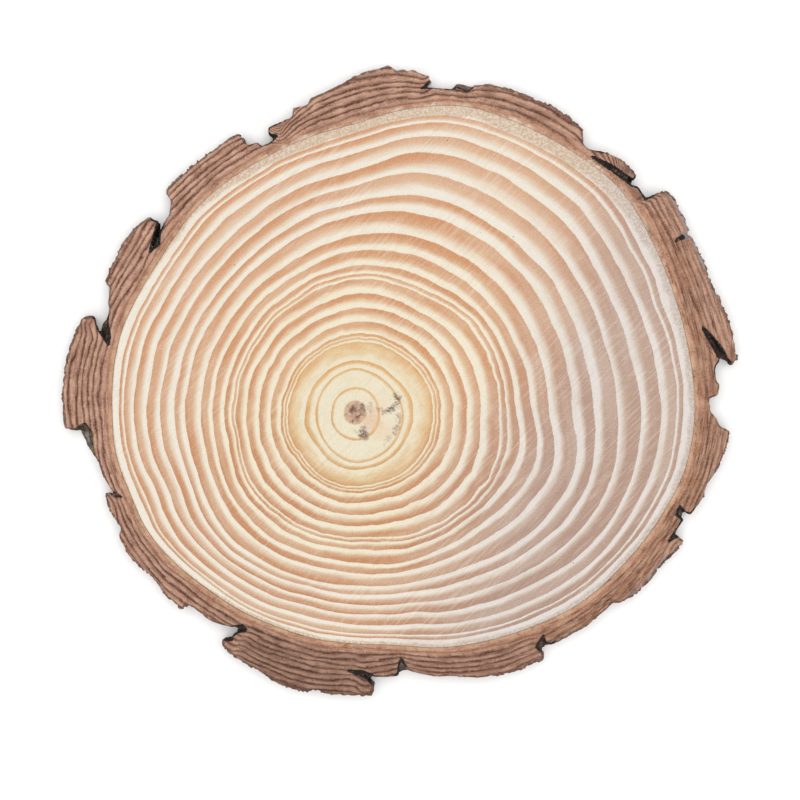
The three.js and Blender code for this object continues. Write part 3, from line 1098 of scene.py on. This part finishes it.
@dataclass
class BarkRing:
    """The ring of bark round the wood: flaky plates with cracks between them."""

    slice: Slice
    voxel: float = 0.37
    cut_depth: float = 0.2
    layer_thickness: float = 1.05
    envelope_half_width: float = 7.0
    scale_levels: float = 4.5
    scale_thickness: float = 0.55
    most_proud: float = 0.25
    fine_depth: float = 0.22
    sawn_dip: float = 0.06
    # How far outside the cambium the inner wall's corners lie, and which sawn ones join them.
    inner_reach: float = 0.75
    joined_reach: float = 0.45
    # How far up or down a corner of the inner wall, and of the sawn edge, may face.
    inner_tilt: float = 0.75
    edge_tilt: float = 0.8
    notch_calm: float = 0.7
    smooth_angle: float = 50.0
    joint_blend: float = 1.5
    mean_radius: float = 50.0
    plate_joints: tuple[float, ...] = (
        10, 28, 36.5, 70.5, 77, 106, 140, 163, 186, 199, 236, 244, 271, 280.5, 308.5, 323.8, 338.5, 343,
    )
    # How much darker each plate is than the palest. The first one lies before the first joint.
    plate_tones: tuple[float, ...] = (
        0.2, 0.18, 0.12, 0.1, 0.1, 0.06, 0.03, 0.03, 0.08, 0.1, 0.14, 0.22, 0.4, 0.3, 0.27, 0.22, 0.18, 0.2,
    )
    # Where painted shade darkens a gap between plates: its angle, half its width in degrees, and how dark
    # the shade is.
    crevice_shade_spots: tuple[tuple[float, float, float], ...] = (
        (10, 4, 1), (28, 1.5, 0.9), (41, 6.5, 0.9), (71.5, 3, 0.8), (77.5, 2, 0.9), (106, 2.5, 0.8),
        (139, 3.5, 1), (162, 3.5, 1), (186, 5, 1), (199.5, 1.5, 0.7), (229, 1.5, 0.5), (242.5, 2.5, 0.8),
        (271, 4, 0.9), (280, 1.5, 0.8), (309, 2.5, 0.85), (323.5, 1, 0.4), (340.5, 4, 0.85),
    )
    # Where the outermost scale has weathered grey: angle and half its width in degrees.
    grey_edges: tuple[tuple[float, float], ...] = ((26, 10), (-16, 8), (-29, 7), (-44, 9))
    # The stretches with warmer bark, with pale bast against the wood, and with moss in a notch.
    warm_arc: tuple[float, ...] = (-68, -40, 26, 42)
    bast_arc: tuple[float, ...] = (22, 34, 106, 120)
    moss_arc: tuple[float, ...] = (181, 184, 189, 192)
    gap: float = 0.04

    def build(self) -> bpy.types.Object:
        """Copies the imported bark, gives it fine corners and works its scales into them.

        Returns:
            The finished piece, with the attributes that its finish reads.
        """
        piece = self.copied()
        mesh = piece.data
        points = per_corner(mesh, mesh.vertices, "co") / MM
        facing = per_corner(mesh, mesh.vertex_normals, "vector")
        degrees, radius = self.slice.polar(points)
        rim = self.slice.rim(degrees)
        out = radius - rim
        inner = (out < self.inner_reach) & (np.abs(facing[:, 2]) < self.inner_tilt)
        top = points[:, 2] > self.slice.thick - self.cut_depth
        under = points[:, 2] < self.cut_depth
        sawn = top | under
        outer = ~sawn & ~inner
        notch, away_from_edge = self.notches(points)

        # The outside flakes off in thin scales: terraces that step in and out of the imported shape,
        # and meet it at both sawn faces.
        stepped, tread = self.terraces(points)
        high, low = (self.terraces(points * (1, 1, 0) + (0, 0, z))[0] for z in (self.slice.thick, 0.0))
        reference = low + (high - low) * points[:, 2] / self.slice.thick
        fine = rough(points, (0.9, 0.9, 0.6), 5.0, 3)
        middle = smooth(0.0, 1.4, points[:, 2]) * smooth(0.0, 1.4, self.slice.thick - points[:, 2])
        inward = np.maximum(stepped - reference, -self.most_proud / self.scale_thickness)
        depth = self.fine_depth * fine - self.scale_thickness * inward
        depth *= 1 - self.notch_calm * notch
        at_edge = sawn & (out > self.inner_reach) & (np.abs(facing[:, 2]) < self.edge_tilt)
        points[:, :2] += facing[:, :2] * (depth * (outer | at_edge))[:, None]

        # The two sawn faces are flat, and the bark lies close against the wood.
        dips = [
            self.sawn_dip * (0.5 - rough(points[face], (1.2, 1.2, 0.1), seed, 2))
            for face, seed in ((top, 8.0), (under, 9.0))
        ]
        points[top, 2], points[under, 2] = self.slice.thick - dips[0], dips[1]
        points[:, 2] = np.clip(points[:, 2], 0, self.slice.thick)
        turn = np.radians(degrees)
        against = inner | (sawn & (out < self.joined_reach))
        for axis, share in enumerate((np.cos(turn), np.sin(turn))):
            points[against, axis] = (self.slice.pith[axis] + (rim + self.gap) * share)[against]
        mesh.vertices.foreach_set("co", (points * MM).ravel())

        values = {
            "level": points[:, 2],
            "rind": np.where(outer, smooth(0.0, 0.8, self.slice.thick - points[:, 2]), 0.0),
            "flake": stepped / self.scale_levels,
            # Painted shade under each scale's edge on the outside, faded out near the sawn faces.
            "ledge_shade": np.where(outer, middle * smooth(0.3, 0.12, tread), 0.0),
            "skin": smooth(0.95, 0.15, away_from_edge),
            **self.ring_values(points, degrees, rim, out),
            **self.notch_values(degrees, notch, smooth(0.5, 0.06, away_from_edge)),
        }
        for name, value in values.items():
            mesh.attributes.new(name, "FLOAT", "POINT").data.foreach_set("value", value)
        bpy.ops.object.shade_smooth_by_angle(angle=math.radians(self.smooth_angle))
        return piece

    def ring_values(self, points: np.ndarray, degrees: np.ndarray, rim: np.ndarray,
                    out: np.ndarray) -> dict[str, np.ndarray]:
        """Where each corner lies in the ring, for the pattern of layers.

        Args:
            points: the finished corners in mm.
            degrees: their angles.
            rim: the cambium's radius at each.
            out: how far outside the cambium each lies.

        Returns:
            The finish's attributes, by name.
        """
        wander = degrees + 0.3 * rough(points, (0.35, 0.35, 0.1), 21.0, 3)
        hull, layers, plate = self.plates(wander % TURN)
        share = out / np.maximum(hull - rim, 0.5)
        turn, offset = np.radians(degrees), signed(degrees)
        return {
            "layer": share * (layers + 2 * plate),
            "rim": out,
            "east": np.cos(turn) * self.mean_radius,
            "north": np.sin(turn) * self.mean_radius,
            "warm": arc(self.warm_arc, offset),
            "bast": arc(self.bast_arc, offset),
            "shade": plate * smooth(0.3, 2.2, out),
        }

    def notch_values(self, degrees: np.ndarray, notch: np.ndarray,
                     near: np.ndarray) -> dict[str, np.ndarray]:
        """The painted shade in the broken edge's cracks, and how grey or mossy the edge is.

        Args:
            degrees: each corner's angle.
            notch: how deep in a notch it lies, from 0 to 1.
            near: how near the edge it lies, from 0 to 1.

        Returns:
            The finish's attributes, by name.
        """
        shade_in_crevice, weathered = np.zeros(len(degrees)), np.zeros(len(degrees))
        # Painted shade, strongest in the listed gaps between plates.
        for centre, half, strength in self.crevice_shade_spots:
            away = np.abs(signed(degrees - centre))
            shade_in_crevice = np.maximum(shade_in_crevice, strength * smooth(half * 1.3, half * 0.8, away))
        for centre, half in self.grey_edges:
            away = np.abs(signed(degrees - centre))
            weathered = np.maximum(weathered, smooth(half, half * 0.6, away))
        return {
            "crack_shade": notch * near * shade_in_crevice,
            "weathered": weathered * (1 - notch),
            "moss": notch * near * arc(self.moss_arc, degrees),
        }

    def terraces(self, points: np.ndarray) -> tuple[np.ndarray, np.ndarray]:
        """How many scales have come off the outside at each point.

        Args:
            points: rows of millimetres.

        Returns:
            The number of scales, with a short slope between two numbers, and how far each point
            is across its own scale, from 0 to 1.
        """
        level = (0.55 - rough(points, (0.13, 0.13, 0.085), 11.0, 4)) * self.scale_levels
        level += 0.25 * rough(points, (0.7, 0.7, 0.4), 15.0, 2)
        tread = level - np.floor(level)
        return np.clip(np.floor(level) + smooth(0.0, 0.22, tread), 0, self.scale_levels), tread

    def plates(self, degrees: np.ndarray) -> tuple[np.ndarray, np.ndarray, np.ndarray]:
        """The bark's plates: an even outside for each, so that its layers run along it.

        Args:
            degrees: the angles to read the plates at.

        Returns:
            The plate's unbroken outer radius, how many layers it holds, and how dark it is, for
            each angle.
        """
        edge = self.edge_points()
        angle, radius = self.slice.polar(edge)
        envelope = self.envelope()
        whole = radius > np.interp(angle, self.slice.angles, envelope, period=TURN) - 0.9
        joints = self.plate_joints
        hull, layers, tone, total = (np.zeros(len(degrees)) for _ in range(4))
        for number, end in enumerate(joints):
            start = joints[number - 1] - (TURN if number == 0 else 0)
            middle, half = (start + end) / 2, (end - start) / 2
            offset = signed(angle - middle)
            mine = whole & (np.abs(offset) < half)
            if mine.sum() > 8:
                curve = np.polyfit(offset[mine], radius[mine], 2 if half > 5 else 1)
            else:
                curve = np.array([np.interp(middle % TURN, self.slice.angles, envelope, period=TURN)])
            # A plate passes into the next one over a few degrees.
            place = signed(degrees - middle)
            weight = smooth(half + self.joint_blend, half - self.joint_blend, np.abs(place))
            reach = np.polyval(curve, np.clip(place, -half - self.joint_blend, half + self.joint_blend))
            thick = np.average(reach - self.slice.rim(degrees), weights=weight)
            hull += weight * reach
            layers += weight * max(thick / self.layer_thickness, 1.5)
            tone += weight * self.plate_tones[number]
            total += weight
        return hull / total, layers / total, tone / total

    def copied(self) -> bpy.types.Object:
        """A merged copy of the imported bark, remeshed into even fine faces."""
        bpy.ops.object.select_all(action="DESELECT")
        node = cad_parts["bark"]
        piece = bpy.data.objects.new("bark_ring", node.data.copy())
        bpy.context.scene.collection.objects.link(piece)
        piece.select_set(True)
        bpy.context.view_layer.objects.active = piece
        bpy.ops.object.mode_set(mode="EDIT")
        bpy.ops.mesh.select_all(action="SELECT")
        bpy.ops.mesh.remove_doubles(threshold=1e-6)
        bpy.ops.object.mode_set(mode="OBJECT")
        remesh = piece.modifiers.new("fine_faces", "REMESH")
        remesh.mode = "VOXEL"
        remesh.voxel_size = self.voxel * MM
        bpy.ops.object.modifier_apply(modifier=remesh.name)
        return piece

    def envelope(self) -> np.ndarray:
        """The unbroken outside of the plates at every spoke, as if no notch had been bitten."""
        angle, radius = self.slice.polar(self.slice.bark_edge)
        outer = radius - self.slice.rim(angle) > 0.6
        angle, radius = angle[outer], radius[outer]
        order = np.argsort(angle)
        edge = np.interp(self.slice.angles, angle[order], radius[order], period=TURN)
        reach = int(self.envelope_half_width * self.slice.spokes / TURN)
        highest = np.max([np.roll(edge, step) for step in range(-reach, reach + 1)], 0)
        return np.mean([np.roll(highest, step) for step in range(-reach, reach + 1)], 0)

    def notches(self, points: np.ndarray) -> tuple[np.ndarray, np.ndarray]:
        """Where the bark's edge is bitten in, so that painted shade can darken its cracks and hollows.

        Args:
            points: the corners in mm.

        Returns:
            How deep in a notch the nearest edge is, from 0 to 1, and how far off it is in mm.
        """
        edge = self.edge_points()
        tree = kdtree.KDTree(len(edge))
        for index, point in enumerate(edge):
            tree.insert((point[0], point[1], 0), index)
        tree.balance()
        found = [tree.find((p[0], p[1], 0))[1:] for p in points]
        index = np.array([f[0] for f in found])
        away = np.array([f[1] for f in found])
        angle, radius = self.slice.polar(edge)
        hull = np.interp(angle, self.slice.angles, self.envelope(), period=TURN)
        depth = (hull - radius)[index]
        return smooth(0.9, 2.4, depth), away

    def edge_points(self) -> np.ndarray:
        """Points every 0.2 mm along the bark's outer edge on the top face."""
        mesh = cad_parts["bark"].data
        points = np.array([v.co for v in mesh.vertices]) / MM
        high = points[:, 2] > self.slice.thick - 0.01
        found: dict[tuple, tuple] = {}
        for face in mesh.polygons:
            corners = list(face.vertices)
            ups = [v for v in corners if high[v]]
            if len(ups) != 2:
                continue
            ends = sorted(tuple(np.round(points[v], 3)) for v in ups)
            found[tuple(ends)] = tuple(ends)
        line = []
        for start, end in found.values():
            start, end = np.array(start), np.array(end)
            count = max(1, int(np.linalg.norm(end - start) / 0.2))
            line += [start + (end - start) * step / count for step in range(count)]
        line = np.array(line)
        angle, radius = self.slice.polar(line)
        return line[radius - self.slice.rim(angle) > 0.5]

    def dress(self, piece: bpy.types.Object) -> None:
        """Gives the ring its bark and its place in the frame.

        Args:
            piece: the built ring.
        """
        piece.data.materials.clear()
        piece.data.materials.append(RawPineBark().make())
        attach(piece, "root")
        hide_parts("bark")
        log.info("%s: %d faces", piece.name, len(piece.data.polygons))


# --- The studio. ---


@dataclass
class Studio:
    """A pale floor, soft light from above and all round, and a camera straight overhead."""

    floor_size: float = 4.0
    frame_width: float = 0.1429
    frame_middle: tuple[float, float] = (0.00013, -0.00335)
    lens: float = 200.0
    sensor: float = 36.0
    lamp_spread: float = 30.0
    lamp_strength: float = 2.57
    ceiling: float = 0.34
    walls: float = 1.02

    def build(self) -> None:
        """Makes the floor, the lights and the camera."""
        self.lay_floor()
        self.light()
        self.place_camera()

    def lay_floor(self) -> None:
        """A sheet of paper just under the slice."""
        bpy.ops.object.select_all(action="DESELECT")
        bpy.ops.mesh.primitive_grid_add(x_subdivisions=8, y_subdivisions=8, size=self.floor_size)
        floor = bpy.context.object
        floor.name = "paper_floor"
        floor.data.materials.append(MattPaper().make())

    def light(self) -> None:
        """A wide soft lamp overhead, in a room with bright white walls and a dimmer ceiling."""
        world = bpy.data.worlds.new("white_studio")
        bpy.context.scene.world = world
        world.use_nodes = True
        tree = world.node_tree
        way = add_node(tree, "ShaderNodeTexCoord").outputs["Generated"]
        up = add_node(tree, "ShaderNodeSeparateXYZ", {}, {0: way}).outputs["Z"]
        room = add_node(
            tree, "ShaderNodeMapRange", {"interpolation_type": "SMOOTHSTEP"},
            {"Value": up, "From Min": 0.14, "From Max": 0.45, "To Min": self.walls, "To Max": self.ceiling},
        )
        tree.links.new(room.outputs["Result"], tree.nodes["Background"].inputs["Strength"])
        tree.nodes["Background"].inputs["Color"].default_value = (1, 1, 1, 1)
        lamp = bpy.data.lights.new("overhead_softbox", "SUN")
        lamp.angle = math.radians(self.lamp_spread)
        lamp.energy = self.lamp_strength
        lamp_object = bpy.data.objects.new("overhead_softbox", lamp)
        bpy.context.scene.collection.objects.link(lamp_object)
        bpy.context.scene.view_settings.view_transform = "Standard"

    def place_camera(self) -> None:
        """A long lens straight above, so that the sides stay hidden."""
        camera = bpy.data.cameras.new("overhead_camera")
        camera.lens = self.lens
        camera.sensor_width = self.sensor
        camera.clip_end = 10
        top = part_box("wood")[1][2]
        distance = self.frame_width * self.lens / self.sensor
        camera_object = bpy.data.objects.new("overhead_camera", camera)
        camera_object.location = (*self.frame_middle, top + distance)
        bpy.context.scene.collection.objects.link(camera_object)
        bpy.context.scene.camera = camera_object


def corners(box: tuple[Vector, Vector]) -> list[list[float]]:
    """A box's two corners as plain lists."""
    return [list(corner) for corner in box]


def main() -> None:
    """Builds the studio and the slice."""
    logging.basicConfig(level=logging.INFO)
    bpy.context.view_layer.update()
    Studio().build()
    whole = Slice()
    shapes = RingShapes()
    for maker in (WoodDisc(whole, shapes), BarkRing(whole)):
        maker.dress(maker.build())


if __name__ == "__main__":
    main()
